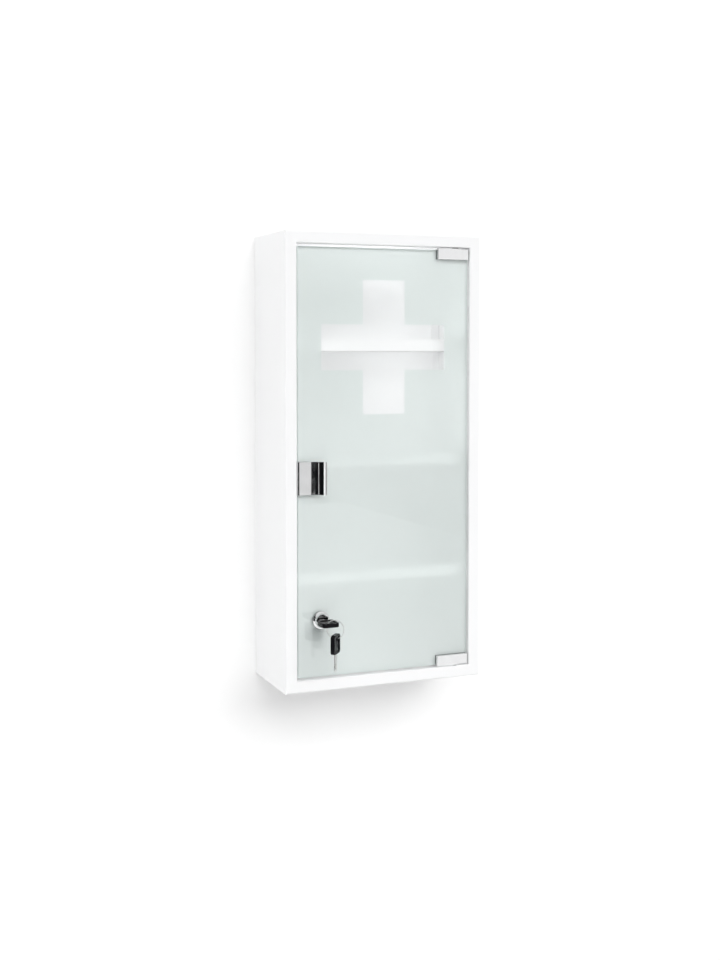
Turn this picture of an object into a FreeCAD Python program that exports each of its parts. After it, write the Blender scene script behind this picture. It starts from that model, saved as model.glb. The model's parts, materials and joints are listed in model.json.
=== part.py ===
import FreeCAD, Part
import math
import os

from FreeCAD import Rotation, Vector

# Medicine cabinet for a wall: a folded steel casing, an inset glass door on two pivots,
# a clip handle, and a cam lock with its key, ring and spare key.
# Millimetres. X points right, Y into the wall, Z up. The origin lies on the wall, at the
# centre of the four screw holes. The door is shut, unlocked, and its key is in the lock.

# Casing, folded from steel sheet
cabinet_width = 280.0
cabinet_height = 600.0
cabinet_depth = 130.0
sheet = 0.8
bend_inside = 1.2
frame_width = 16.0
return_depth = 14.0
rear_flange = 12.0
back_margin = 1.0
wall_hole_inset_x = 40.0
wall_hole_inset_z = 50.0
wall_hole_diameter = 6.5

# Shelves: trays with a raised front lip, lowest first
shelf_names = ("lower_shelf", "middle_shelf", "upper_shelf")
lowest_shelf_height = 136.0
shelf_pitch = 154.0
shelf_lip = 17.0
shelf_back_edge = 10.0
shelf_end_flange = 12.0
swing_clearance = 2.4

# Glass door
glass_thickness = 4.0
glass_recess = 3.0
glass_corner_radius = 2.0
glass_arris = 0.4
pivot_inset = 17.5
liner = 0.5

# Hinge shoes, their pins and the bushes in the frame
shoe_length = 46.0
shoe_cover = 12.5
shoe_jaw = 3.0
shoe_web = 1.7
shoe_bevel = 0.7
shoe_relief = 1.0
pin_diameter = 4.0
pin_reach = 6.0
pin_chamfer = 0.5
running_clearance = 0.05
bush_wall = 0.75
bush_flange = 0.8
bush_flange_diameter = 8.5
bush_length = 5.0
pivot_play = 0.3

# Grub screws in the shoes and the handle
grub_diameter = 4.0
grub_proud = 0.3
grub_socket = 2.0
grub_socket_depth = 1.8
shoe_grub_inset = 8.0
handle_grub_spacing = 26.0

# Clip handle
handle_rise = 261.0
handle_height = 43.0
handle_plate = 2.2
handle_web = 1.1
handle_clearance = 0.4
handle_rear_plate = 2.0
handle_flat = 15.0
handle_flare_radius = 20.0
handle_flare_angle = 65.0
handle_edge_radius = 3.0

# Magnetic catch behind the handle
catch_height = 20.0
catch_leg = 9.0
cup_diameter = 13.0
cup_wall = 1.2
catch_screw_diameter = 3.0
catch_screw_head = 5.6
catch_nut_flats = 5.5
catch_nut_thickness = 2.4

# Cam lock
lock_inset = 31.5
lock_rise = 74.5
bezel_diameter = 23.0
bezel_face_diameter = 17.0
bezel_height = 7.0
bezel_rim = 1.2
bezel_dome_share = 0.17
barrel_diameter = 17.0
barrel_flats = 15.0
lock_hole_clearance = 0.7
gasket = 0.5
lock_washer_thickness = 0.8
nut_flats = 22.0
nut_thickness = 4.0
plug_diameter = 11.0
plug_head_diameter = 13.0
plug_head = 2.0
plug_recess = 0.4
cam_clearance = 0.8
cam_gap = 0.2
cam_thickness = 2.0
cam_width = 15.0
cam_reach = 40.0
cam_square = 6.5
cam_nip = 0.2
cam_washer_diameter = 12.0
cam_washer_thickness = 1.0
cam_screw_diameter = 4.0
cam_screw_depth = 3.0
cam_screw_flats = 8.0
cam_screw_head = 3.2
wafer_count = 5
wafer_thickness = 0.9
wafer_height = 4.4
wafer_first = 3.6
wafer_pitch = 2.3
wafer_clearance = 0.05

# Keys
blade_length = 23.0
blade_in_lock = 15.8
blade_width = 6.5
blade_thickness = 2.0
blade_tip = 2.5
blade_tang = 12.0
blade_groove_width = 1.6
blade_groove_depth = 0.4
key_clearance = 0.15
window_clearance = 0.3
notch_half_width = 0.9
notch_shares = (0.10, 0.20, 0.06, 0.16, 0.11)
bow_length = 25.0
bow_width = 23.0
bow_thickness = 5.6
bow_corner_radius = 4.5
bow_edge_radius = 0.6
bow_rim = 2.5
bow_recess = 1.0
slot_width = 12.0
slot_height = 4.2
slot_inset = 6.5
slot_round_share = 0.45

# Key ring, and the way it and the spare key face, in degrees right of straight out
ring_diameter = 25.0
ring_wire = 1.2
ring_drop = 4.8
ring_offset = 3.0
ring_split = 0.5
ring_bearing = 45.0
spare_bearing = 50.0
hang_gap = 0.3

# How far a cutting tool runs past what it cuts
overrun = 5.0

# How near an edge comes to a plane to be picked, as a share of the piece's own thickness
pick_share = 0.01

# Places worked out from the sizes above
half_width = cabinet_width / 2
half_height = cabinet_height / 2
bend_outside = bend_inside + sheet
frame_face = -cabinet_depth
return_end = frame_face + return_depth
frame_inner = half_width - frame_width
opening_end = half_height - frame_width
glass_side_gap = liner + handle_web + handle_clearance
glass_right = frame_inner - glass_side_gap
glass_left = -glass_right
glass_bottom = -opening_end + bush_flange + shoe_web + liner
glass_top = opening_end - bush_flange - shoe_web - liner - pivot_play
glass_front = frame_face + glass_recess
glass_rear = glass_front + glass_thickness
pivot_x = glass_right - pivot_inset
pivot_y = (glass_front + glass_rear) / 2
shelf_front = pivot_y + math.hypot(pivot_inset, glass_thickness / 2) + swing_clearance
handle_z = glass_bottom + handle_rise
handle_end = glass_left + handle_flat
handle_back = glass_rear + liner + handle_rear_plate
lock_x = glass_left + lock_inset
lock_z = glass_bottom + lock_rise
bezel_base = glass_front - gasket
bezel_face = bezel_base - bezel_height
plug_face = bezel_face + plug_recess
cam_front = return_end + cam_clearance
cam_back = cam_front + cam_thickness
housing_end = cam_front - cam_gap
bow_near = plug_face + blade_in_lock - blade_length


# Shared operations

def block(low, high):
    """Box between two opposite corners."""
    size = Vector(*high) - Vector(*low)
    return Part.makeBox(size.x, size.y, size.z, Vector(*low))


def rod(diameter, start, end):
    """Round bar between two points."""
    way = Vector(*end) - Vector(*start)
    return Part.makeCylinder(diameter / 2, way.Length, Vector(*start), way)


def hexagon(flats, start, end):
    """Six-sided bar between two points, given across its flats."""
    way = Vector(*end) - Vector(*start)
    across = flats / math.sqrt(3)
    turn = Rotation(Vector(0, 0, 1), way)
    corners = []
    for step in range(7):
        angle = math.radians(60 * step)
        corner = Vector(across * math.cos(angle), across * math.sin(angle), 0)
        corners.append(Vector(*start) + turn.multVec(corner))
    return Part.Face(Part.makePolygon(corners)).extrude(way)


def line(start, end):
    return Part.LineSegment(start, end).toShape()


def arc(start, middle, end):
    return Part.Arc(start, middle, end).toShape()


def folded_profile(corners, thickness, inside):
    """Section of a bent sheet in the XY plane. The corners lie on its outer face, each a left turn."""
    points = [Vector(x, y, 0) for x, y in corners]
    ways = [(b - a).normalize() for a, b in zip(points, points[1:])]
    sides = [Vector(-way.y, way.x, 0) for way in ways]
    outside = inside + thickness
    outer = []
    inner = []
    last_outer = points[0]
    last_inner = points[0] + sides[0] * thickness
    start_cap = line(last_inner, last_outer)
    for index, corner in enumerate(points[1:-1]):
        way, next_way = ways[index], ways[index + 1]
        side, next_side = sides[index], sides[index + 1]
        tangent = outside * math.tan(way.getAngle(next_way) / 2)
        begin = corner - way * tangent
        finish = corner + next_way * tangent
        centre = begin + side * outside
        spoke = (corner - centre).normalize()
        outer.append(line(last_outer, begin))
        outer.append(arc(begin, centre + spoke * outside, finish))
        inner_begin = begin + side * thickness
        inner_finish = finish + next_side * thickness
        inner.append(line(last_inner, inner_begin))
        inner.append(arc(inner_begin, centre + spoke * inside, inner_finish))
        last_outer, last_inner = finish, inner_finish
    end_inner = points[-1] + sides[-1] * thickness
    outer.append(line(last_outer, points[-1]))
    inner.append(line(last_inner, end_inner))
    end_cap = line(points[-1], end_inner)
    edges = outer + [end_cap] + inner[::-1] + [start_cap]
    return Part.Face(Part.Wire(Part.__sortEdges__(edges)))


def rounded_plate(width, length, radius, low, high):
    """Flat plate with round corners, centred on X, from Y 0 towards -Y, between two heights."""
    plate = block((-width / 2, -length, low), (width / 2, 0, high))
    near = (high - low) * pick_share
    upright = [edge for edge in plate.Edges if abs(edge.BoundBox.ZLength - (high - low)) < near]
    return plate.makeFillet(radius, upright)


def turned(outline):
    """Solid of revolution about the lock's axis, from a list of (radius, Y) corners."""
    corners = [Vector(radius, y, 0) for radius, y in outline]
    face = Part.Face(Part.makePolygon(corners + corners[:1]))
    solid = face.revolve(Vector(0, 0, 0), Vector(0, 1, 0), 360)
    return solid.translated(Vector(lock_x, 0, lock_z))


def upper(shape):
    """The top hinge's copy of a bottom hinge piece, with the play above the glass."""
    mirrored = shape.mirror(Vector(0, 0, 0), Vector(0, 0, 1))
    return mirrored.translated(Vector(0, 0, glass_top + glass_bottom))


def export(name, shape):
    shape.exportStep("parts/" + name + ".step")


# Casing

def casing_panel(length):
    """One wall with its rear flange, front frame and return, mitred at both ends.

    Its outer face lies in the YZ plane, +X points into the cabinet and it runs along Z.
    """
    profile = folded_profile(
        (
            (rear_flange, -sheet),
            (0, -sheet),
            (0, frame_face),
            (frame_width, frame_face),
            (frame_width, return_end),
        ),
        sheet,
        bend_inside,
    )
    half = length / 2
    bar = profile.translated(Vector(0, 0, -half)).extrude(Vector(0, 0, length))
    reach = max(frame_width, rear_flange) + overrun
    mitre = Part.makePolygon(
        [
            Vector(0, frame_face - overrun, -half),
            Vector(0, frame_face - overrun, half),
            Vector(reach, frame_face - overrun, half - reach),
            Vector(reach, frame_face - overrun, reach - half),
            Vector(0, frame_face - overrun, -half),
        ]
    )
    wedge = Part.Face(mitre).extrude(Vector(0, cabinet_depth + 2 * overrun, 0))
    return bar.common(wedge)


def turned_panel(length, angle, distance):
    """A casing panel turned about Y to its side of the cabinet."""
    turn = Rotation(Vector(0, 1, 0), angle)
    panel = casing_panel(length)
    panel.Placement = FreeCAD.Placement(turn.multVec(Vector(-distance, 0, 0)), turn)
    return panel


def back_panel():
    edge_x = half_width - back_margin
    edge_z = half_height - back_margin
    plate = block((-edge_x, -sheet, -edge_z), (edge_x, 0, edge_z))
    for side in (-1, 1):
        for end in (-1, 1):
            x = side * (half_width - wall_hole_inset_x)
            z = end * (half_height - wall_hole_inset_z)
            plate = plate.cut(rod(wall_hole_diameter, (x, -sheet - overrun, z), (x, overrun, z)))
    return plate


def shelf(underside):
    """Tray with a raised front lip, a raised back edge and end flanges that sit on the side walls."""
    rear = -2 * sheet
    wall = half_width - sheet
    tray = folded_profile(
        (
            (shelf_front, shelf_lip),
            (shelf_front, 0),
            (rear, 0),
            (rear, shelf_back_edge),
        ),
        sheet,
        bend_inside,
    )
    deck_end = wall - bend_outside
    upright = Rotation(Vector(0, 1, 0), Vector(0, 0, 1), Vector(1, 0, 0), "XYZ")
    tray.Placement = FreeCAD.Placement(Vector(-deck_end, 0, 0), upright)
    solid = tray.extrude(Vector(2 * deck_end, 0, 0))
    flange = folded_profile(
        (
            (wall, sheet - shelf_end_flange),
            (wall, sheet),
            (deck_end - bend_outside, sheet),
        ),
        sheet,
        bend_inside,
    )
    standing = Rotation(Vector(1, 0, 0), 90)
    front_end = shelf_front + bend_outside
    flange.Placement = FreeCAD.Placement(Vector(0, rear - bend_outside, 0), standing)
    right = flange.extrude(Vector(0, front_end - rear + bend_outside, 0))
    left = right.mirror(Vector(0, 0, 0), Vector(1, 0, 0))
    solid = solid.fuse([left, right]).removeSplitter()
    return solid.translated(Vector(0, 0, underside))


def pivot_bush():
    """Flanged sleeve in the lower frame. The shoe rests on its flange."""
    seat = -opening_end
    bore = pin_diameter + 2 * running_clearance
    sleeve = rod(bore + 2 * bush_wall, (pivot_x, pivot_y, seat - bush_length), (pivot_x, pivot_y, seat))
    head = rod(bush_flange_diameter, (pivot_x, pivot_y, seat), (pivot_x, pivot_y, seat + bush_flange))
    hole = rod(bore, (pivot_x, pivot_y, seat - bush_length - overrun), (pivot_x, pivot_y, seat + overrun))
    return sleeve.fuse(head).removeSplitter().cut(hole)


def bush_hole():
    bore = pin_diameter + 2 * running_clearance + 2 * bush_wall
    start = (pivot_x, pivot_y, -opening_end - bush_length - overrun)
    return rod(bore, start, (pivot_x, pivot_y, -opening_end + sheet))


def upper_frame(shape):
    """A lower frame piece mirrored to the upper frame."""
    return shape.mirror(Vector(0, 0, 0), Vector(0, 0, 1))


# Magnetic catch

catch_x = (glass_left - liner - handle_web + handle_end) / 2
leg_front = return_end + bend_inside
leg_back = leg_front + sheet


def catch_bracket():
    """Folded angle, welded inside the frame's left return, that reaches behind the handle."""
    outer_x = -frame_inner - 2 * sheet
    angle = folded_profile(
        (
            (handle_end, leg_back),
            (outer_x, leg_back),
            (outer_x, return_end - catch_leg),
        ),
        sheet,
        bend_inside,
    )
    lowered = angle.translated(Vector(0, 0, handle_z - catch_height / 2))
    bracket = lowered.extrude(Vector(0, 0, catch_height))
    start = (catch_x, leg_front - overrun, handle_z)
    return bracket.cut(rod(catch_screw_diameter, start, (catch_x, leg_back + overrun, handle_z)))


def catch_cup():
    """Steel cup round the magnet, open to the front."""
    cup = rod(cup_diameter, (catch_x, handle_back, handle_z), (catch_x, leg_front, handle_z))
    floor = leg_front - cup_wall
    mouth = (catch_x, handle_back - overrun, handle_z)
    inside = rod(cup_diameter - 2 * cup_wall, mouth, (catch_x, floor, handle_z))
    hole = rod(catch_screw_diameter, (catch_x, handle_back, handle_z), (catch_x, leg_back, handle_z))
    return cup.cut(inside).cut(hole)


def countersunk_head():
    depth = (catch_screw_head - catch_screw_diameter) / 2
    start = Vector(catch_x, handle_back, handle_z)
    return Part.makeCone(catch_screw_head / 2, catch_screw_diameter / 2, depth, start, Vector(0, 1, 0))


def catch_magnet():
    start = (catch_x, handle_back, handle_z)
    end = (catch_x, leg_front - cup_wall, handle_z)
    ring = rod(cup_diameter - 2 * cup_wall, start, end)
    return ring.cut(rod(catch_screw_diameter, start, end)).cut(countersunk_head())


def catch_screw():
    end = (catch_x, leg_back + catch_nut_thickness, handle_z)
    return rod(catch_screw_diameter, (catch_x, handle_back, handle_z), end).fuse(countersunk_head())


def catch_nut():
    start = (catch_x, leg_back, handle_z)
    end = (catch_x, leg_back + catch_nut_thickness, handle_z)
    return hexagon(catch_nut_flats, start, end).cut(rod(catch_screw_diameter, start, end))


# Glass door

def glass_pane():
    pane = block((glass_left, glass_front, glass_bottom), (glass_right, glass_rear, glass_top))
    near = glass_thickness * pick_share
    corners = [edge for edge in pane.Edges if abs(edge.BoundBox.YLength - glass_thickness) < near]
    pane = pane.makeFillet(glass_corner_radius, corners)
    rims = [edge for edge in pane.Edges if edge.BoundBox.YLength < near]
    pane = pane.makeChamfer(glass_arris, rims)
    hole = barrel_diameter + 2 * lock_hole_clearance
    start = (lock_x, glass_front - overrun, lock_z)
    return pane.cut(rod(hole, start, (lock_x, glass_rear + overrun, lock_z)))


shoe_left = glass_right - shoe_length
shoe_base = glass_bottom - liner - shoe_web
shoe_edge = glass_bottom + shoe_cover
shoe_front = glass_front - liner - shoe_jaw
shoe_back = glass_rear + liner + shoe_jaw


def hinge_shoe():
    """Chrome clamp on the glass's lower edge, stepped back past the pivot."""
    shoe = block((shoe_left, shoe_front, shoe_base), (glass_right, shoe_back, shoe_edge))
    step_start = pivot_x + bush_flange_diameter / 2
    step = block(
        (step_start, shoe_front - overrun, shoe_base - overrun),
        (glass_right + overrun, shoe_back + overrun, shoe_base + shoe_relief),
    )
    shoe = shoe.cut(step)
    near = shoe_jaw * pick_share
    front_edges = [edge for edge in shoe.Edges if edge.BoundBox.YMax < shoe_front + near]
    shoe = shoe.makeChamfer(shoe_bevel, front_edges)
    slot = block(
        (shoe_left - overrun, glass_front - liner, glass_bottom - liner),
        (glass_right + overrun, glass_rear + liner, shoe_edge + overrun),
    )
    shoe = shoe.cut(slot)
    shoe = shoe.cut(rod(pin_diameter, (pivot_x, pivot_y, shoe_base), (pivot_x, pivot_y, glass_bottom)))
    for start, end in shoe_grub_axes():
        shoe = shoe.cut(rod(grub_diameter, start, end))
    return shoe


def shoe_grub_axes():
    """Start and end of each grub screw in a lower shoe, from the liner to just past the rear jaw."""
    z = glass_bottom + shoe_cover / 2
    axes = []
    for x in (shoe_left + shoe_grub_inset, glass_right - shoe_grub_inset):
        axes.append(((x, glass_rear + liner, z), (x, shoe_back + grub_proud, z)))
    return axes


def grub_screw(start, end):
    """Headless screw with a hexagon socket in its far end."""
    x, y, z = end
    socket = hexagon(grub_socket, (x, y - grub_socket_depth, z), (x, y + overrun, z))
    return rod(grub_diameter, start, end).cut(socket)


def hinge_liner():
    strip = block(
        (shoe_left, glass_front - liner, glass_bottom - liner),
        (glass_right, glass_rear + liner, shoe_edge),
    )
    space = block(
        (shoe_left - overrun, glass_front, glass_bottom),
        (glass_right + overrun, glass_rear, shoe_edge + overrun),
    )
    return strip.cut(space)


def pivot_pin():
    tip = shoe_base - pin_reach
    pin = rod(pin_diameter, (pivot_x, pivot_y, tip), (pivot_x, pivot_y, glass_bottom - liner))
    end = [edge for edge in pin.Edges if edge.BoundBox.ZMax < tip + pin_reach * pick_share]
    return pin.makeChamfer(pin_chamfer, end)


# Clip handle

def handle_clip():
    """Clip round the glass's left edge whose front plate flares out to a lip for the fingers."""
    left = glass_left - liner - handle_web
    slot_left = glass_left - liner
    front = glass_front - liner - handle_plate
    slot_front = glass_front - liner
    slot_rear = glass_rear + liner
    round_edge = handle_edge_radius
    corner_reach = round_edge * (1 - math.sqrt(0.5))
    angle = math.radians(handle_flare_angle)
    centre = Vector(handle_end, front - handle_flare_radius, 0)
    outer_radius = handle_flare_radius + handle_plate

    def flare(radius, share):
        turn = angle * share
        return centre + Vector(math.sin(turn), math.cos(turn), 0) * radius

    lip_front = flare(handle_flare_radius, 1)
    lip_rear = flare(outer_radius, 1)
    lip_way = Vector(math.cos(angle), -math.sin(angle), 0)
    lip_nose = (lip_front + lip_rear) / 2 + lip_way * (handle_plate / 2)
    edges = [
        line(Vector(left + round_edge, front, 0), flare(handle_flare_radius, 0)),
        arc(flare(handle_flare_radius, 0), flare(handle_flare_radius, 0.5), lip_front),
        arc(lip_front, lip_nose, lip_rear),
        arc(lip_rear, flare(outer_radius, 0.5), flare(outer_radius, 0)),
        line(flare(outer_radius, 0), Vector(slot_left, slot_front, 0)),
        line(Vector(slot_left, slot_front, 0), Vector(slot_left, slot_rear, 0)),
        line(Vector(slot_left, slot_rear, 0), Vector(handle_end, slot_rear, 0)),
        line(Vector(handle_end, slot_rear, 0), Vector(handle_end, handle_back, 0)),
        line(Vector(handle_end, handle_back, 0), Vector(left + round_edge, handle_back, 0)),
        arc(
            Vector(left + round_edge, handle_back, 0),
            Vector(left + corner_reach, handle_back - corner_reach, 0),
            Vector(left, handle_back - round_edge, 0),
        ),
        line(Vector(left, handle_back - round_edge, 0), Vector(left, front + round_edge, 0)),
        arc(
            Vector(left, front + round_edge, 0),
            Vector(left + corner_reach, front + corner_reach, 0),
            Vector(left + round_edge, front, 0),
        ),
    ]
    face = Part.Face(Part.Wire(edges))
    clip = face.translated(Vector(0, 0, handle_z - handle_height / 2)).extrude(Vector(0, 0, handle_height))
    for start, end in handle_grub_axes():
        clip = clip.cut(rod(grub_diameter, start, end))
    return clip


def handle_grub_axes():
    axes = []
    for side in (-1, 1):
        z = handle_z + side * handle_grub_spacing / 2
        axes.append(((catch_x, glass_rear + liner, z), (catch_x, handle_back + grub_proud, z)))
    return axes


def handle_liner():
    low = handle_z - handle_height / 2
    high = handle_z + handle_height / 2
    strip = block((glass_left - liner, glass_front - liner, low), (handle_end, glass_rear + liner, high))
    space = block(
        (glass_left, glass_front, low - overrun),
        (handle_end + overrun, glass_rear, high + overrun),
    )
    return strip.cut(space)


# Cam lock

def lock_housing():
    """Domed bezel and flatted barrel, bored for the plug."""
    bore = plug_diameter / 2 + running_clearance
    head_bore = plug_head_diameter / 2 + running_clearance
    shoulder = plug_face + plug_head
    edge = bezel_diameter / 2
    face_edge = bezel_face_diameter / 2
    dome_start = Vector(edge, bezel_base - bezel_rim, 0)
    dome_end = Vector(face_edge, bezel_face, 0)
    chord = dome_end - dome_start
    bulge = Vector(-chord.y, chord.x, 0).normalize() * (chord.Length * bezel_dome_share)
    dome_top = (dome_start + dome_end) / 2 - bulge
    barrel = barrel_diameter / 2
    corners = [
        dome_end,
        Vector(head_bore, bezel_face, 0),
        Vector(head_bore, shoulder, 0),
        Vector(bore, shoulder, 0),
        Vector(bore, housing_end, 0),
        Vector(barrel, housing_end, 0),
        Vector(barrel, bezel_base, 0),
        Vector(edge, bezel_base, 0),
        dome_start,
    ]
    edges = [line(a, b) for a, b in zip(corners, corners[1:])]
    edges.append(arc(dome_start, dome_top, dome_end))
    body = Part.Face(Part.Wire(edges)).revolve(Vector(0, 0, 0), Vector(0, 1, 0), 360)
    for side in (-1, 1):
        inner = side * barrel_flats / 2
        outer = side * (barrel + overrun)
        low = (min(inner, outer), bezel_base, -barrel)
        body = body.cut(block(low, (max(inner, outer), housing_end + overrun, barrel)))
    return body.translated(Vector(lock_x, 0, lock_z))


def lock_ring(diameter, start, end):
    """Washer on the lock's barrel."""
    inner = barrel_diameter / 2
    outer = diameter / 2
    return turned([(inner, start), (outer, start), (outer, end), (inner, end)])


def lock_nut():
    start = glass_rear + lock_washer_thickness
    end = start + nut_thickness
    nut = hexagon(nut_flats, (lock_x, start, lock_z), (lock_x, end, lock_z))
    return nut.cut(rod(barrel_diameter, (lock_x, start, lock_z), (lock_x, end, lock_z)))


def wafer_fronts():
    return [plug_face + wafer_first + step * wafer_pitch for step in range(wafer_count)]


def lock_plug():
    """Plug with its keyway, wafer slots, square drive and tapped end."""
    body = plug_diameter / 2
    head = plug_head_diameter / 2
    shoulder = plug_face + plug_head
    outline = [
        (0, plug_face),
        (head, plug_face),
        (head, shoulder),
        (body, shoulder),
        (body, cam_front),
        (0, cam_front),
    ]
    plug = turned(outline)
    square = cam_square / 2
    drive_end = cam_back - cam_nip
    drive = block(
        (lock_x - square, cam_front, lock_z - square),
        (lock_x + square, drive_end, lock_z + square),
    )
    plug = plug.fuse(drive)
    half_key = blade_width / 2 + key_clearance
    half_thick = blade_thickness / 2 + key_clearance
    keyway_end = plug_face + blade_in_lock + key_clearance
    keyway = block(
        (lock_x - half_key, plug_face - overrun, lock_z - half_thick),
        (lock_x + half_key, keyway_end, lock_z + half_thick),
    )
    plug = plug.cut(keyway)
    for front in wafer_fronts():
        back = front + wafer_thickness
        reach = wafer_height / 2 + wafer_clearance
        slot = block(
            (lock_x - head, front - wafer_clearance, lock_z - reach),
            (lock_x + head, back + wafer_clearance, lock_z + reach),
        )
        plug = plug.cut(slot)
    screw_tip = drive_end - cam_screw_depth
    return plug.cut(rod(cam_screw_diameter, (lock_x, screw_tip, lock_z), (lock_x, drive_end, lock_z)))


def lock_wafers():
    """Thin plates in the plug, each with a window for the key."""
    half_wafer = wafer_height / 2
    half_length = math.sqrt((plug_diameter / 2) ** 2 - half_wafer ** 2)
    window_x = blade_width / 2 + window_clearance
    window_z = blade_thickness / 2 + window_clearance
    wafers = []
    for front in wafer_fronts():
        back = front + wafer_thickness
        plate = block(
            (lock_x - half_length, front, lock_z - half_wafer),
            (lock_x + half_length, back, lock_z + half_wafer),
        )
        window = block(
            (lock_x - window_x, front - overrun, lock_z - window_z),
            (lock_x + window_x, back + overrun, lock_z + window_z),
        )
        wafers.append(plate.cut(window))
    return Part.makeCompound(wafers)


def lock_cam():
    """Round-ended bar on the plug's square, hanging down while unlocked."""
    half = cam_width / 2
    tip = lock_z - cam_reach + half
    bar = block((lock_x - half, cam_front, tip), (lock_x + half, cam_back, lock_z))
    for z in (tip, lock_z):
        bar = bar.fuse(rod(cam_width, (lock_x, cam_front, z), (lock_x, cam_back, z)))
    square = cam_square / 2
    hole = block(
        (lock_x - square, cam_front, lock_z - square),
        (lock_x + square, cam_back, lock_z + square),
    )
    return bar.removeSplitter().cut(hole)


def cam_washer():
    end = cam_back + cam_washer_thickness
    washer = rod(cam_washer_diameter, (lock_x, cam_back, lock_z), (lock_x, end, lock_z))
    return washer.cut(rod(cam_screw_diameter, (lock_x, cam_back, lock_z), (lock_x, end, lock_z)))


def cam_screw():
    tip = cam_back - cam_nip - cam_screw_depth
    seat = cam_back + cam_washer_thickness
    shank = rod(cam_screw_diameter, (lock_x, tip, lock_z), (lock_x, seat, lock_z))
    top = seat + cam_screw_head
    return shank.fuse(hexagon(cam_screw_flats, (lock_x, seat, lock_z), (lock_x, top, lock_z)))


# Keys, made with the bow's shoulder at the origin, the blade along +Y and the faces across Z

def key_blade():
    half = blade_width / 2
    thick = blade_thickness / 2
    outline = [
        (-half, -blade_tang),
        (half, -blade_tang),
        (half, blade_length - blade_tip),
        (half - blade_tip, blade_length),
        (-half + blade_tip, blade_length),
        (-half, blade_length - blade_tip),
        (-half, -blade_tang),
    ]
    wire = Part.makePolygon([Vector(x, y, -thick) for x, y in outline])
    blade = Part.Face(wire).extrude(Vector(0, 0, blade_thickness))
    first = blade_length - blade_in_lock + wafer_first + wafer_thickness / 2
    for step, share in enumerate(notch_shares):
        y = first + step * wafer_pitch
        floor = half - share * blade_width
        corners = [
            Vector(half + overrun, y - notch_half_width - overrun, -thick - overrun),
            Vector(floor, y, -thick - overrun),
            Vector(half + overrun, y + notch_half_width + overrun, -thick - overrun),
        ]
        notch = Part.Face(Part.makePolygon(corners + corners[:1]))
        blade = blade.cut(notch.extrude(Vector(0, 0, blade_thickness + 2 * overrun)))
    groove = block(
        (-blade_groove_width / 2, 0, thick - blade_groove_depth),
        (blade_groove_width / 2, blade_length - blade_tip, thick + overrun),
    )
    blade = blade.cut(groove)
    return blade.cut(groove.mirror(Vector(0, 0, 0), Vector(0, 0, 1)))


def key_bow():
    """Moulded head with a raised rim, a sunk panel on each face and a wide slot for the ring."""
    half = bow_thickness / 2
    bow = rounded_plate(bow_width, bow_length, bow_corner_radius, -half, half)
    rims = [edge for edge in bow.Edges if edge.BoundBox.ZLength < bow_thickness * pick_share]
    bow = bow.makeFillet(bow_edge_radius, rims)
    panel_radius = bow_corner_radius - bow_rim
    panel_width = bow_width - 2 * bow_rim
    panel_length = bow_length - 2 * bow_rim
    panel = rounded_plate(panel_width, panel_length, panel_radius, 0, half + overrun)
    panel.translate(Vector(0, -bow_rim, half - bow_recess))
    bow = bow.cut(panel)
    bow = bow.cut(panel.mirror(Vector(0, 0, 0), Vector(0, 0, 1)))
    slot_radius = slot_height * slot_round_share
    slot = rounded_plate(slot_width, slot_height, slot_radius, -half - overrun, half + overrun)
    slot.translate(Vector(0, slot_inset + slot_height / 2 - bow_length, 0))
    bow = bow.cut(slot)
    tang = block(
        (-blade_width / 2, -blade_tang, -blade_thickness / 2),
        (blade_width / 2, overrun, blade_thickness / 2),
    )
    return bow.cut(tang)


key_place = FreeCAD.Placement(Vector(lock_x, bow_near, lock_z), Rotation())

ring_radius = (ring_diameter - ring_wire) / 2
ring_angle = math.radians(ring_bearing)
ring_way = Vector(math.sin(ring_angle), -math.cos(ring_angle), 0)
ring_pass = Vector(lock_x - ring_offset, bow_near - bow_length + slot_inset, lock_z)
ring_centre = ring_pass + ring_way * math.sqrt(ring_radius ** 2 - ring_drop ** 2) - Vector(0, 0, ring_drop)
ring_lowest = ring_centre - Vector(0, 0, ring_radius)

spare_angle = math.radians(spare_bearing)
spare_face = Vector(math.sin(spare_angle), -math.cos(spare_angle), 0)
spare_down = Vector(0, 0, -1)
slot_edge = bow_length - slot_inset + slot_height / 2
spare_shoulder = ring_lowest + Vector(0, 0, ring_wire / 2 + hang_gap - slot_edge)
spare_turn = Rotation(spare_down.cross(spare_face), spare_down, spare_face, "ZXY")
spare_place = FreeCAD.Placement(spare_shoulder, spare_turn)


def key_ring():
    """Wire loop through the key's slot, split on its outer side."""
    axis = ring_way.cross(Vector(0, 0, 1))
    gap = math.degrees(ring_split / ring_radius)
    start = ring_centre + ring_way * ring_radius
    section = Part.Face(Part.Wire(Part.makeCircle(ring_wire / 2, start, Vector(0, 0, 1))))
    return section.revolve(ring_centre, axis, 360 - gap)


def placed(shape, placement):
    shape.Placement = placement.multiply(shape.Placement)
    return shape


os.makedirs("parts", exist_ok=True)

export("left_side", turned_panel(cabinet_height, 0, half_width))
export("right_side", turned_panel(cabinet_height, 180, half_width))
export("top_panel", turned_panel(cabinet_width, 90, half_height).cut(upper_frame(bush_hole())))
export("bottom_panel", turned_panel(cabinet_width, -90, half_height).cut(bush_hole()))
export("back_panel", back_panel())
for level, shelf_name in enumerate(shelf_names):
    export(shelf_name, shelf(lowest_shelf_height + level * shelf_pitch - half_height))
export("lower_pivot_bush", pivot_bush())
export("upper_pivot_bush", upper_frame(pivot_bush()))
export("catch_bracket", catch_bracket())
export("catch_cup", catch_cup())
export("catch_magnet", catch_magnet())
export("catch_screw", catch_screw())
export("catch_nut", catch_nut())

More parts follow.
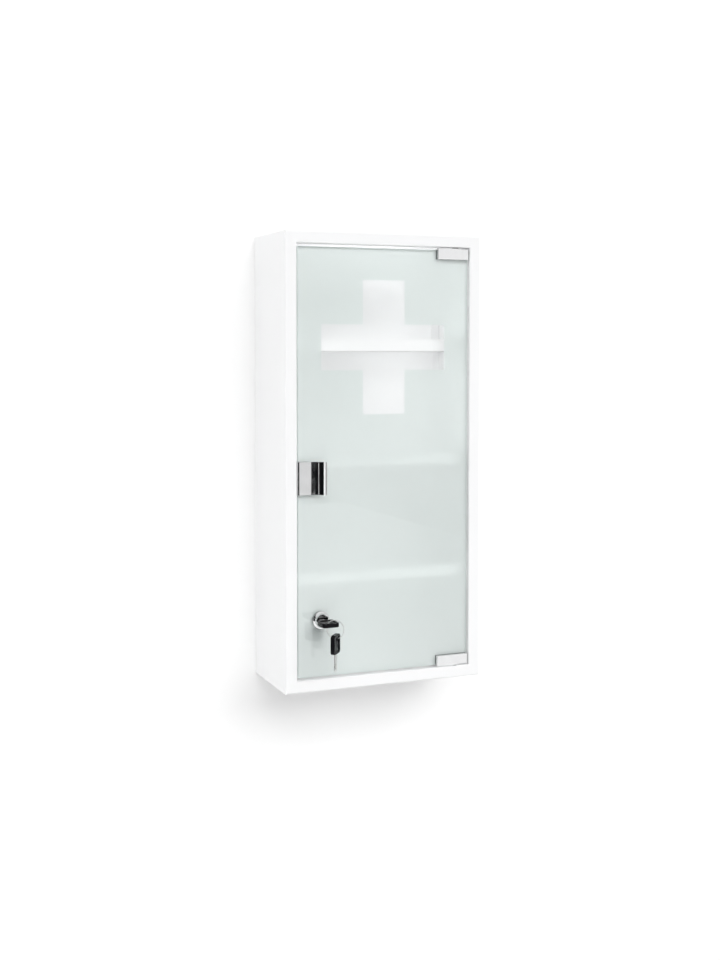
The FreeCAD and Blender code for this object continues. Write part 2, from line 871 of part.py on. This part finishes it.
export("glass_pane", glass_pane())
for end_name, move in (("lower", lambda shape: shape), ("upper", upper)):
    export(end_name + "_hinge_shoe", move(hinge_shoe()))
    export(end_name + "_hinge_liner", move(hinge_liner()))
    export(end_name + "_pivot_pin", move(pivot_pin()))
lower_grubs = [grub_screw(start, end) for start, end in shoe_grub_axes()]
export("hinge_grub_screws", Part.makeCompound(lower_grubs + [upper(screw) for screw in lower_grubs]))
export("handle_clip", handle_clip())
export("handle_liner", handle_liner())
handle_grubs = [grub_screw(start, end) for start, end in handle_grub_axes()]
export("handle_grub_screws", Part.makeCompound(handle_grubs))

export("lock_housing", lock_housing())
export("lock_gasket", lock_ring(bezel_diameter, bezel_base, glass_front))
export("lock_washer", lock_ring(nut_flats, glass_rear, glass_rear + lock_washer_thickness))
export("lock_nut", lock_nut())
export("lock_plug", lock_plug())
export("lock_wafers", lock_wafers())
export("lock_cam", lock_cam())
export("cam_washer", cam_washer())
export("cam_screw", cam_screw())

export("key_blade", placed(key_blade(), key_place))
export("key_bow", placed(key_bow(), key_place))
export("key_ring", key_ring())
export("spare_key_blade", placed(key_blade(), spare_place))
export("spare_key_bow", placed(key_bow(), spare_place))

print("door pivot", round(pivot_x, 4), round(pivot_y, 4))
print("lock axis", round(lock_x, 4), round(lock_z, 4), "plug face", round(plug_face, 4))
print("ring swivel", [round(value, 4) for value in ring_pass])
print("spare swing", [round(value, 4) for value in ring_lowest])
print("spare swing runs along", [round(value, 5) for value in ring_way])
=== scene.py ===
import json
import math

import bmesh
import bpy
from mathutils import Matrix, Vector


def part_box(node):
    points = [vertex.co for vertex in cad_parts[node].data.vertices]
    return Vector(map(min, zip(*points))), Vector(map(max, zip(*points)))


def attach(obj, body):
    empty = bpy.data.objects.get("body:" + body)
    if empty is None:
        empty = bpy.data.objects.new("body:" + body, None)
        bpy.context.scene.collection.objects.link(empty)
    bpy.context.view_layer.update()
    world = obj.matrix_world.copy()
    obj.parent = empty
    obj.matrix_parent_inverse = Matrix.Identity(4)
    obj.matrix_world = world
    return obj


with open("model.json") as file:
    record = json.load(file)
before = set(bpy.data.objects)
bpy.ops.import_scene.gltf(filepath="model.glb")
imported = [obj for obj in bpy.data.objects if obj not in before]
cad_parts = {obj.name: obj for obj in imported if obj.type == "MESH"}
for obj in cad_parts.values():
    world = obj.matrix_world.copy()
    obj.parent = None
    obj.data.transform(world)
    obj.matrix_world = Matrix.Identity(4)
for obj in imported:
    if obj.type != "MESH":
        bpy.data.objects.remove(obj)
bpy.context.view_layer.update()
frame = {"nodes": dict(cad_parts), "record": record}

# Looks for a wall-hung medicine cabinet: white powder coat, frosted glass with a clear cross,
# chrome fittings, and a cam lock with black-headed keys. Metres, in the frame of the CAD model.

nodes = frame["nodes"]

# Frosting on the rear face of the glass, and the equal-armed cross and lock hole left out of it
frost_thickness = 0.00005
frost_gap = 0.00001
frost_margin = 0.0004
cross_centre = (0.0, 0.150)
cross_half_arm = 0.030
cross_half_span = 0.0885
lock_hole_radius = 0.0095
lock_hole_steps = 48
merge_distance = 0.000005

# A face of the pane that looks this much to the front or the rear isn't one of its cut edges
pane_face_tilt = 0.9

# Span of a noise texture's values that a finish spreads over its own range
noise_low = 0.3
noise_high = 0.7
smear_high = 0.75

# How strongly sprayed or moulded lumps, and hairlines, tilt the surface
lump_strength = 0.3
line_strength = 0.2


# Building blocks for node trees

def add(tree, kind, **settings):
    """A node with the given settings, which are properties of the node itself."""
    node = tree.nodes.new(kind)
    for name, value in settings.items():
        setattr(node, name, value)
    return node


def join(tree, source, target):
    tree.links.new(source, target)


def maths(tree, operation, first, second=None):
    """A Math node fed by sockets or by plain numbers. Returns its output."""
    node = add(tree, "ShaderNodeMath", operation=operation)
    for index, value in enumerate((first, second)):
        if value is None:
            continue
        if isinstance(value, (int, float)):
            node.inputs[index].default_value = value
        else:
            join(tree, value, node.inputs[index])
    return node.outputs[0]


def spread(tree, value, from_low, from_high, to_low, to_high, smooth=False):
    """A Map Range node from one span of values to another. Returns its output."""
    node = add(tree, "ShaderNodeMapRange")
    if smooth:
        node.interpolation_type = "SMOOTHSTEP"
    join(tree, value, node.inputs["Value"])
    node.inputs["From Min"].default_value = from_low
    node.inputs["From Max"].default_value = from_high
    node.inputs["To Min"].default_value = to_low
    node.inputs["To Max"].default_value = to_high
    return node.outputs["Result"]


def over_noise(tree, value, to_low, to_high):
    """A noise texture's value spread over the given span. Returns its output."""
    return spread(tree, value, noise_low, noise_high, to_low, to_high)


def blend_colours(tree, mask, first, second):
    """A colour that goes from the first to the second with the mask. Returns its output."""
    node = add(tree, "ShaderNodeMix", data_type="RGBA")
    join(tree, mask, node.inputs["Factor"])
    ends = [socket for socket in node.inputs if socket.type == "RGBA"]
    ends[0].default_value = (*first, 1)
    ends[1].default_value = (*second, 1)
    return [socket for socket in node.outputs if socket.type == "RGBA"][0]


def new_group(name, inputs, outputs):
    """An empty shader node group with named number inputs and outputs."""
    tree = bpy.data.node_groups.new(name, "ShaderNodeTree")
    for label, value in inputs:
        socket = tree.interface.new_socket(label, in_out="INPUT", socket_type="NodeSocketFloat")
        socket.default_value = value
    for label in outputs:
        tree.interface.new_socket(label, in_out="OUTPUT", socket_type="NodeSocketFloat")
    return tree, add(tree, "NodeGroupInput"), add(tree, "NodeGroupOutput")


def place(tree, group, **values):
    """A group placed in a material with its own values."""
    node = add(tree, "ShaderNodeGroup", node_tree=group)
    for label, value in values.items():
        node.inputs[label.replace("_", " ")].default_value = value
    return node


# Effects that several finishes share

def make_fine_texture():
    """Small even lumps, as in powder coat or moulded plastic, with a slow drift over the sheet."""
    tree, start, end = new_group(
        "fine_texture",
        (("Lump Scale", 900.0), ("Drift Scale", 9.0)),
        ("Lumps", "Drift"),
    )
    coordinates = add(tree, "ShaderNodeTexCoord")
    lumps = add(tree, "ShaderNodeTexNoise")
    lumps.inputs["Detail"].default_value = 2.0
    lumps.inputs["Roughness"].default_value = 0.45
    drift = add(tree, "ShaderNodeTexNoise")
    drift.inputs["Detail"].default_value = 3.0
    join(tree, coordinates.outputs["Object"], lumps.inputs["Vector"])
    join(tree, coordinates.outputs["Object"], drift.inputs["Vector"])
    join(tree, start.outputs["Lump Scale"], lumps.inputs["Scale"])
    join(tree, start.outputs["Drift Scale"], drift.inputs["Scale"])
    join(tree, lumps.outputs["Fac"], end.inputs["Lumps"])
    join(tree, drift.outputs["Fac"], end.inputs["Drift"])
    return tree


def make_handling_marks():
    """Faint smears and hairlines on bright metal."""
    tree, start, end = new_group(
        "handling_marks",
        (("Smear Scale", 60.0), ("Line Scale", 2500.0), ("Line Stretch", 0.04)),
        ("Smears", "Lines"),
    )
    coordinates = add(tree, "ShaderNodeTexCoord")
    smears = add(tree, "ShaderNodeTexNoise")
    smears.inputs["Detail"].default_value = 5.0
    smears.inputs["Distortion"].default_value = 0.6
    join(tree, coordinates.outputs["Object"], smears.inputs["Vector"])
    join(tree, start.outputs["Smear Scale"], smears.inputs["Scale"])
    split = add(tree, "ShaderNodeSeparateXYZ")
    join(tree, coordinates.outputs["Object"], split.inputs[0])
    stretched = add(tree, "ShaderNodeCombineXYZ")
    along = maths(tree, "MULTIPLY", split.outputs["Z"], start.outputs["Line Stretch"])
    join(tree, split.outputs["X"], stretched.inputs["X"])
    join(tree, split.outputs["Y"], stretched.inputs["Y"])
    join(tree, along, stretched.inputs["Z"])
    lines = add(tree, "ShaderNodeTexNoise")
    lines.inputs["Detail"].default_value = 2.0
    join(tree, stretched.outputs[0], lines.inputs["Vector"])
    join(tree, start.outputs["Line Scale"], lines.inputs["Scale"])
    join(tree, smears.outputs["Fac"], end.inputs["Smears"])
    join(tree, lines.outputs["Fac"], end.inputs["Lines"])
    return tree


fine_texture = make_fine_texture()
handling_marks = make_handling_marks()


# Finishes

def new_finish(name):
    """A material with a Principled shader. Returns the material, its tree and the shader."""
    material = bpy.data.materials.new(name)
    material.use_nodes = True
    tree = material.node_tree
    tree.nodes.clear()
    shader = add(tree, "ShaderNodeBsdfPrincipled")
    output = add(tree, "ShaderNodeOutputMaterial")
    join(tree, shader.outputs["BSDF"], output.inputs["Surface"])
    return material, tree, shader


def bump(tree, shader, height, strength, distance):
    node = add(tree, "ShaderNodeBump")
    node.inputs["Strength"].default_value = strength
    node.inputs["Distance"].default_value = distance
    join(tree, height, node.inputs["Height"])
    join(tree, node.outputs["Normal"], shader.inputs["Normal"])


def textured_coat(name, pale, deep, rough, lump_scale, drift_scale, depth, gloss=0.5):
    """Paint or plastic with a fine moulded or sprayed texture."""
    material, tree, shader = new_finish(name)
    shader.inputs["Specular IOR Level"].default_value = gloss
    texture = place(tree, fine_texture, Lump_Scale=lump_scale, Drift_Scale=drift_scale)
    lumps, drift = texture.outputs["Lumps"], texture.outputs["Drift"]
    mask = over_noise(tree, drift, 0.0, 1.0)
    join(tree, blend_colours(tree, mask, deep, pale), shader.inputs["Base Color"])
    join(tree, over_noise(tree, lumps, rough[0], rough[1]), shader.inputs["Roughness"])
    bump(tree, shader, lumps, lump_strength, depth)
    return material


def bright_metal(name, pale, deep, rough, smear_scale, line_scale, line_depth):
    """Plated metal with faint smears, and hairlines where it is brushed."""
    material, tree, shader = new_finish(name)
    shader.inputs["Metallic"].default_value = 1.0
    marks = place(tree, handling_marks, Smear_Scale=smear_scale, Line_Scale=line_scale)
    smears, lines = marks.outputs["Smears"], marks.outputs["Lines"]
    mask = over_noise(tree, smears, 0.0, 1.0)
    join(tree, blend_colours(tree, mask, deep, pale), shader.inputs["Base Color"])
    roughness = spread(tree, smears, noise_low, smear_high, rough[0], rough[1])
    join(tree, roughness, shader.inputs["Roughness"])
    if line_depth:
        bump(tree, shader, lines, line_strength, line_depth)
    return material


def let_light_in(tree, shader, share):
    """Lets a share of the light pass straight through, so that it reaches the shelves."""
    path = add(tree, "ShaderNodeLightPath")
    passing = maths(tree, "MAXIMUM", path.outputs["Is Shadow Ray"], path.outputs["Is Diffuse Ray"])
    clear = add(tree, "ShaderNodeBsdfTransparent")
    clear.inputs["Color"].default_value = (share, share, share, 1)
    both = add(tree, "ShaderNodeMixShader")
    join(tree, passing, both.inputs[0])
    join(tree, shader.outputs["BSDF"], both.inputs[1])
    join(tree, clear.outputs[0], both.inputs[2])
    output = [node for node in tree.nodes if node.type == "OUTPUT_MATERIAL"][0]
    join(tree, both.outputs[0], output.inputs["Surface"])


def clear_glass():
    """Float glass with a faint green cast and slow ripples."""
    material, tree, shader = new_finish("float_glass")
    shader.inputs["Transmission Weight"].default_value = 1.0
    shader.inputs["IOR"].default_value = 1.5
    ripple = place(tree, fine_texture, Lump_Scale=25.0, Drift_Scale=6.0)
    mask = over_noise(tree, ripple.outputs["Drift"], 0.0, 1.0)
    tint = blend_colours(tree, mask, (0.972, 0.985, 0.980), (0.978, 0.988, 0.984))
    join(tree, tint, shader.inputs["Base Color"])
    join(tree, over_noise(tree, ripple.outputs["Lumps"], 0.0, 0.02), shader.inputs["Roughness"])
    let_light_in(tree, shader, share=1.0)
    return material


def etched_frost():
    """Milky etched layer that veils and blurs what is behind it."""
    material, tree, shader = new_finish("etched_frost")
    shader.inputs["Transmission Weight"].default_value = 0.5
    shader.inputs["IOR"].default_value = 1.3
    grain = place(tree, fine_texture, Lump_Scale=1400.0, Drift_Scale=6.0)
    mask = over_noise(tree, grain.outputs["Drift"], 0.0, 1.0)
    milk = blend_colours(tree, mask, (0.785, 0.837, 0.824), (0.805, 0.854, 0.841))
    join(tree, milk, shader.inputs["Base Color"])
    join(tree, over_noise(tree, grain.outputs["Lumps"], 0.38, 0.46), shader.inputs["Roughness"])
    let_light_in(tree, shader, share=0.87)
    return material


def ground_glass():
    """Matt, pale green edge of cut and ground glass."""
    material, tree, shader = new_finish("ground_glass_edge")
    grain = place(tree, fine_texture, Lump_Scale=1800.0, Drift_Scale=14.0)
    mask = over_noise(tree, grain.outputs["Drift"], 0.0, 1.0)
    tint = blend_colours(tree, mask, (0.80, 0.87, 0.85), (0.84, 0.90, 0.88))
    join(tree, tint, shader.inputs["Base Color"])
    join(tree, over_noise(tree, grain.outputs["Lumps"], 0.50, 0.65), shader.inputs["Roughness"])
    return material


white_coat = textured_coat(
    "white_powder_coat", pale=(0.915, 0.918, 0.922), deep=(0.902, 0.905, 0.910),
    rough=(0.34, 0.42), lump_scale=700.0, drift_scale=7.0, depth=0.00008)
chrome = bright_metal(
    "polished_chrome", pale=(0.900, 0.905, 0.910), deep=(0.855, 0.860, 0.865),
    rough=(0.05, 0.11), smear_scale=70.0, line_scale=2200.0, line_depth=0.0)
zinc = bright_metal(
    "bright_zinc", pale=(0.66, 0.67, 0.69), deep=(0.56, 0.57, 0.60),
    rough=(0.24, 0.38), smear_scale=110.0, line_scale=1800.0, line_depth=0.00002)
key_steel = bright_metal(
    "nickel_key_steel", pale=(0.86, 0.86, 0.855), deep=(0.78, 0.78, 0.77),
    rough=(0.26, 0.40), smear_scale=140.0, line_scale=2600.0, line_depth=0.00002)
wafer_brass = bright_metal(
    "stamped_brass", pale=(0.78, 0.60, 0.28), deep=(0.66, 0.48, 0.20),
    rough=(0.22, 0.36), smear_scale=150.0, line_scale=2000.0, line_depth=0.00002)
key_plastic = textured_coat(
    "black_key_plastic", pale=(0.006, 0.006, 0.007), deep=(0.004, 0.004, 0.005),
    rough=(0.16, 0.24), lump_scale=1600.0, drift_scale=60.0, depth=0.00003, gloss=0.1)
nylon = textured_coat(
    "black_nylon", pale=(0.055, 0.055, 0.060), deep=(0.040, 0.040, 0.044),
    rough=(0.42, 0.55), lump_scale=1400.0, drift_scale=50.0, depth=0.00005)
liner_rubber = textured_coat(
    "soft_liner", pale=(0.115, 0.115, 0.120), deep=(0.080, 0.080, 0.085),
    rough=(0.60, 0.75), lump_scale=1500.0, drift_scale=40.0, depth=0.00006)
ferrite = textured_coat(
    "sintered_ferrite", pale=(0.095, 0.095, 0.100), deep=(0.060, 0.060, 0.065),
    rough=(0.50, 0.70), lump_scale=1100.0, drift_scale=90.0, depth=0.00010)
glass = clear_glass()
frost = etched_frost()
glass_edge = ground_glass()

finish_of_slot = {
    "white_steel": white_coat,
    "frosted_glass": glass,
    "chrome": chrome,
    "zinc_steel": zinc,
    "key_steel": key_steel,
    "black_plastic": key_plastic,
    "nylon": nylon,
    "soft_liner": liner_rubber,
    "brass": wafer_brass,
    "ferrite": ferrite,
}

for entry in frame["record"]["subparts"]:
    mesh = nodes[entry["node"]].data
    mesh.materials.clear()
    mesh.materials.append(finish_of_slot[entry["material_slot"]])

# The pane's cut edges and its drilled hole are ground, its two faces clear
pane = nodes["glass_pane"].data
pane.materials.append(glass_edge)
for face in pane.polygons:
    if abs(face.normal.y) < pane_face_tilt:
        face.material_index = 1


# Frosting

def frost_outline():
    """Outer corners of the frosting, and its cross-shaped and round openings, as lists of (x, z)."""
    low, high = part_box("glass_pane")
    left, right = low[0] + frost_margin, high[0] - frost_margin
    bottom, top = low[2] + frost_margin, high[2] - frost_margin
    sheet = [(left, bottom), (right, bottom), (right, top), (left, top)]
    arm, span = cross_half_arm, cross_half_span
    corner_offsets = (
        (arm, span), (arm, arm), (span, arm), (span, -arm), (arm, -arm), (arm, -span),
        (-arm, -span), (-arm, -arm), (-span, -arm), (-span, arm), (-arm, arm), (-arm, span),
    )
    cross = [(cross_centre[0] + x, cross_centre[1] + z) for x, z in corner_offsets]
    lock_low, lock_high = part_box("lock_washer")
    lock_x = (lock_low[0] + lock_high[0]) / 2
    lock_z = (lock_low[2] + lock_high[2]) / 2
    hole = []
    for step in range(lock_hole_steps):
        angle = math.tau * step / lock_hole_steps
        x = lock_x + lock_hole_radius * math.cos(angle)
        z = lock_z + lock_hole_radius * math.sin(angle)
        hole.append((x, z))
    return sheet, cross, hole


def make_frosting():
    """Thin layer behind the glass, filled between its outline and its openings."""
    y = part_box("glass_pane")[1][1] + frost_gap
    curve = bpy.data.curves.new("frosting", "CURVE")
    curve.dimensions = "2D"
    curve.fill_mode = "BOTH"
    curve.extrude = frost_thickness / 2
    for loop in frost_outline():
        spline = curve.splines.new("POLY")
        spline.points.add(len(loop) - 1)
        for point, (x, z) in zip(spline.points, loop):
            point.co = (x, z, 0, 1)
        spline.use_cyclic_u = True
    flat = bpy.data.objects.new("frosting_outline", curve)
    bpy.context.collection.objects.link(flat)
    bpy.context.view_layer.update()
    mesh = bpy.data.meshes.new_from_object(flat.evaluated_get(bpy.context.evaluated_depsgraph_get()))
    bpy.data.objects.remove(flat)
    stand = Matrix.Translation((0, y + frost_thickness / 2, 0)) @ Matrix.Rotation(math.pi / 2, 4, "X")
    mesh.transform(stand)
    shape = bmesh.new()
    shape.from_mesh(mesh)
    bmesh.ops.remove_doubles(shape, verts=shape.verts, dist=merge_distance)
    bmesh.ops.recalc_face_normals(shape, faces=shape.faces)
    shape.to_mesh(mesh)
    shape.free()
    mesh.materials.clear()
    mesh.materials.append(frost)
    piece = bpy.data.objects.new("frosting", mesh)
    bpy.context.collection.objects.link(piece)
    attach(piece, "door")


make_frosting()


# Wall, floor and surroundings

def seen_directly(tree):
    """One for what the camera sees, also through glass or in a reflection."""
    path = add(tree, "ShaderNodeLightPath")
    seen = maths(tree, "MAXIMUM", path.outputs["Is Camera Ray"], path.outputs["Is Glossy Ray"])
    return maths(tree, "MAXIMUM", seen, path.outputs["Is Transmission Ray"])


def backdrop_finish(name, colour, lift):
    """Matt pale surface, lifted to white where it is seen, and open from behind."""
    material = bpy.data.materials.new(name)
    material.use_nodes = True
    tree = material.node_tree
    tree.nodes.clear()
    matt = add(tree, "ShaderNodeBsdfDiffuse")
    matt.inputs["Color"].default_value = (*colour, 1)
    glow = add(tree, "ShaderNodeEmission")
    join(tree, maths(tree, "MULTIPLY", seen_directly(tree), lift), glow.inputs["Strength"])
    front = add(tree, "ShaderNodeAddShader")
    join(tree, matt.outputs[0], front.inputs[0])
    join(tree, glow.outputs[0], front.inputs[1])
    clear = add(tree, "ShaderNodeBsdfTransparent")
    geometry = add(tree, "ShaderNodeNewGeometry")
    both = add(tree, "ShaderNodeMixShader")
    join(tree, geometry.outputs["Backfacing"], both.inputs[0])
    join(tree, front.outputs[0], both.inputs[1])
    join(tree, clear.outputs[0], both.inputs[2])
    output = add(tree, "ShaderNodeOutputMaterial")
    join(tree, both.outputs[0], output.inputs["Surface"])
    return material


def stage_mesh(name, corners, faces, material):
    mesh = bpy.data.meshes.new(name)
    mesh.from_pydata(corners, [], faces)
    mesh.materials.append(material)
    piece = bpy.data.objects.new(name, mesh)
    bpy.context.collection.objects.link(piece)


# The wall is open behind the cabinet, so that light also reaches its back
wall_y = 0.0012
wall_reach = 4.0
floor_z = -1.35
open_x = 0.139
open_z = 0.299
wall_xs = (-wall_reach, -open_x, open_x, wall_reach)
wall_zs = (floor_z, -open_z, open_z, wall_reach)
wall_corners = [(x, wall_y, z) for z in wall_zs for x in wall_xs]
across = len(wall_xs)
open_cell = (1, 1)
wall_faces = []
for row in range(len(wall_zs) - 1):
    for column in range(across - 1):
        if (row, column) != open_cell:
            first = row * across + column
            wall_faces.append((first, first + 1, first + across + 1, first + across))
white_wall = backdrop_finish("white_wall", colour=(0.88, 0.88, 0.88), lift=0.13)
stage_mesh("wall", wall_corners, wall_faces, white_wall)
floor_reach = 10.4
floor_corners = [
    (-wall_reach, -floor_reach, floor_z),
    (wall_reach, -floor_reach, floor_z),
    (wall_reach, wall_y, floor_z),
    (-wall_reach, wall_y, floor_z),
]
pale_floor = backdrop_finish("pale_floor", colour=(0.55, 0.55, 0.55), lift=0.40)
stage_mesh("floor", floor_corners, [(0, 1, 2, 3)], pale_floor)


# What metal and glass mirror: a pale screen at the right, the bright half of the room,
# and the light overhead
screen_way = Vector((0.643, -0.766, 0.0)).normalized()
screen_edge = (0.935, 0.965)
screen_brightness = 0.94
bright_half_way = (0.9925, 0.1219, 0.0)
bright_half_edge = (-0.03, 0.03)
bright_half_brightness = 0.72
overhead_edge = (0.35, 0.75)
overhead_brightness = 0.8
room_white = (1.0, 1.0, 1.0)
room_dark = (0.005, 0.005, 0.006)


def studio_reflections(tree):
    """White all round. In reflections the front is dark, apart from the screen and the light overhead."""
    way = add(tree, "ShaderNodeTexCoord")
    screen = add(tree, "ShaderNodeVectorMath", operation="DOT_PRODUCT")
    join(tree, way.outputs["Generated"], screen.inputs[0])
    screen.inputs[1].default_value = screen_way
    half = add(tree, "ShaderNodeVectorMath", operation="DOT_PRODUCT")
    join(tree, way.outputs["Generated"], half.inputs[0])
    half.inputs[1].default_value = bright_half_way
    edge = spread(tree, half.outputs["Value"], *bright_half_edge, 0.0, bright_half_brightness, smooth=True)
    middle = spread(tree, screen.outputs["Value"], *screen_edge, 0.0, screen_brightness, smooth=True)
    beside = maths(tree, "MAXIMUM", edge, middle)
    split = add(tree, "ShaderNodeSeparateXYZ")
    join(tree, way.outputs["Generated"], split.inputs[0])
    above = spread(tree, split.outputs["Z"], *overhead_edge, 0.0, overhead_brightness, smooth=True)
    pale = maths(tree, "MAXIMUM", beside, above)
    path = add(tree, "ShaderNodeLightPath")
    dark = maths(tree, "SUBTRACT", 1.0, pale)
    mirrored = maths(tree, "MULTIPLY", path.outputs["Is Glossy Ray"], dark)
    return blend_colours(tree, mirrored, room_white, room_dark)


world = bpy.data.worlds.new("studio")
bpy.context.scene.world = world
world.use_nodes = True
sky = world.node_tree
sky.nodes.clear()
ambient = 0.14
backdrop = add(sky, "ShaderNodeBackground")
join(sky, spread(sky, seen_directly(sky), 0.0, 1.0, ambient, 1.0), backdrop.inputs["Strength"])
join(sky, studio_reflections(sky), backdrop.inputs["Color"])
sky_output = add(sky, "ShaderNodeOutputWorld")
join(sky, backdrop.outputs[0], sky_output.inputs["Surface"])


def softbox(name, position, target, width, height, power, mirrored, beam=math.pi):
    """A lamp with an even face. Only a mirrored one shows in metal and glass. The beam is an angle."""
    lamp = bpy.data.lights.new(name, "AREA")
    lamp.shape = "RECTANGLE"
    lamp.size = width
    lamp.size_y = height
    lamp.energy = power
    lamp.spread = beam
    holder = bpy.data.objects.new(name, lamp)
    holder.visible_glossy = mirrored
    holder.visible_camera = False
    holder.visible_transmission = False
    way = Vector(target) - Vector(position)
    aim = way.to_track_quat("-Z", "Y").to_matrix().to_4x4()
    holder.matrix_world = Matrix.Translation(position) @ aim
    bpy.context.collection.objects.link(holder)


# Lamps around the cabinet
softbox(
    "key_softbox", position=(1.4, -10.5, 7.0), target=(0.0, 0.0, 0.0),
    width=16.0, height=7.5, power=1600.0, mirrored=False)
softbox(
    "low_softbox", position=(-0.4, -1.7, -1.1), target=(0.0, -0.14, -0.3),
    width=1.0, height=0.3, power=3.5, mirrored=False)
softbox(
    "left_softbox", position=(-3.2, -0.35, 0.2), target=(-0.14, -0.06, 0.0),
    width=0.6, height=1.8, power=28.0, mirrored=False)
softbox(
    "right_softbox", position=(3.2, -0.35, 0.2), target=(0.14, -0.06, 0.0),
    width=0.6, height=1.8, power=22.0, mirrored=False)
softbox(
    "back_softbox", position=(0.0, 3.6, 1.2), target=(0.0, 0.0, 0.0),
    width=3.0, height=2.4, power=110.0, mirrored=False)
softbox(
    "left_strip", position=(-2.08, -1.82, 0.3), target=(-0.1, -0.13, 0.0),
    width=0.07, height=1.8, power=0.8, mirrored=True)

# Lamps inside even out the light. The first stands along the upper right
softbox(
    "corner_light", position=(0.095, -0.098, 0.14), target=(0.095, 0.0, 0.14),
    width=0.035, height=0.30, power=0.054, mirrored=False)

# Strips under the top and the shelves, tilted up to the back panel
strip_width = 0.20
strip_height = 0.02
strip_y = -0.065
strip_rise = 0.05
strip_powers = {"top_panel": 0.053, "upper_shelf": 0.024, "middle_shelf": 0.026, "lower_shelf": 0.031}
for piece, power in strip_powers.items():
    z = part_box(piece)[0][2] - strip_height
    aim_point = (0.0, 0.0, z + strip_rise)
    softbox("strip_under_" + piece, (0.0, strip_y, z), aim_point, strip_width, strip_height, power, False)

# Strips before the shelves' lips
lip_strip_width = 0.23
lip_strip_gap = 0.008
lip_powers = {"upper_shelf": 0.002, "middle_shelf": 0.010, "lower_shelf": 0.013}
for piece, power in lip_powers.items():
    low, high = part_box(piece)
    y = low[1] - lip_strip_gap
    z = (low[2] + high[2]) / 2
    lip_height = high[2] - low[2]
    softbox("strip_before_" + piece, (0.0, y, z), (0.0, 0.0, z), lip_strip_width, lip_height, power, False)

# Narrow beams on the inner right wall, above and below the upper shelf
beam_y = -0.055
beam_width = 0.02
beam_height = 0.08
beam_angle = math.radians(60.0)
right_wall_x = 0.14
for name, z, power in (("upper_wall_beam", 0.205, 0.010), ("lower_wall_beam", 0.085, 0.007)):
    softbox(
        name, (0.0, beam_y, z), (right_wall_x, beam_y, z), beam_width, beam_height, power, False,
        beam=beam_angle)

# Camera at the photograph's angle, for a picture of 720 by 960
picture_height = 960.0
camera_place = (-0.6905, -1.7323, 0.1487)
camera_yaw = math.radians(22.39)
camera_pitch = math.radians(-2.384)
focal_pixels = 1318.8
shift_pixels = (-4.2, -76.8)
forward = Vector((
    math.sin(camera_yaw) * math.cos(camera_pitch),
    math.cos(camera_yaw) * math.cos(camera_pitch),
    math.sin(camera_pitch),
))
right = Vector((math.cos(camera_yaw), -math.sin(camera_yaw), 0.0))
up = right.cross(forward)
lens = bpy.data.cameras.new("photo_camera")
lens.sensor_fit = "VERTICAL"
lens.sensor_height = 36.0
lens.lens = focal_pixels / picture_height * lens.sensor_height
lens.shift_x = shift_pixels[0] / picture_height
lens.shift_y = shift_pixels[1] / picture_height
camera = bpy.data.objects.new("photo_camera", lens)
turn = Matrix((right, up, -forward)).transposed().to_4x4()
camera.matrix_world = Matrix.Translation(camera_place) @ turn
bpy.context.collection.objects.link(camera)
bpy.context.scene.camera = camera
bpy.context.scene.view_settings.view_transform = "Standard"
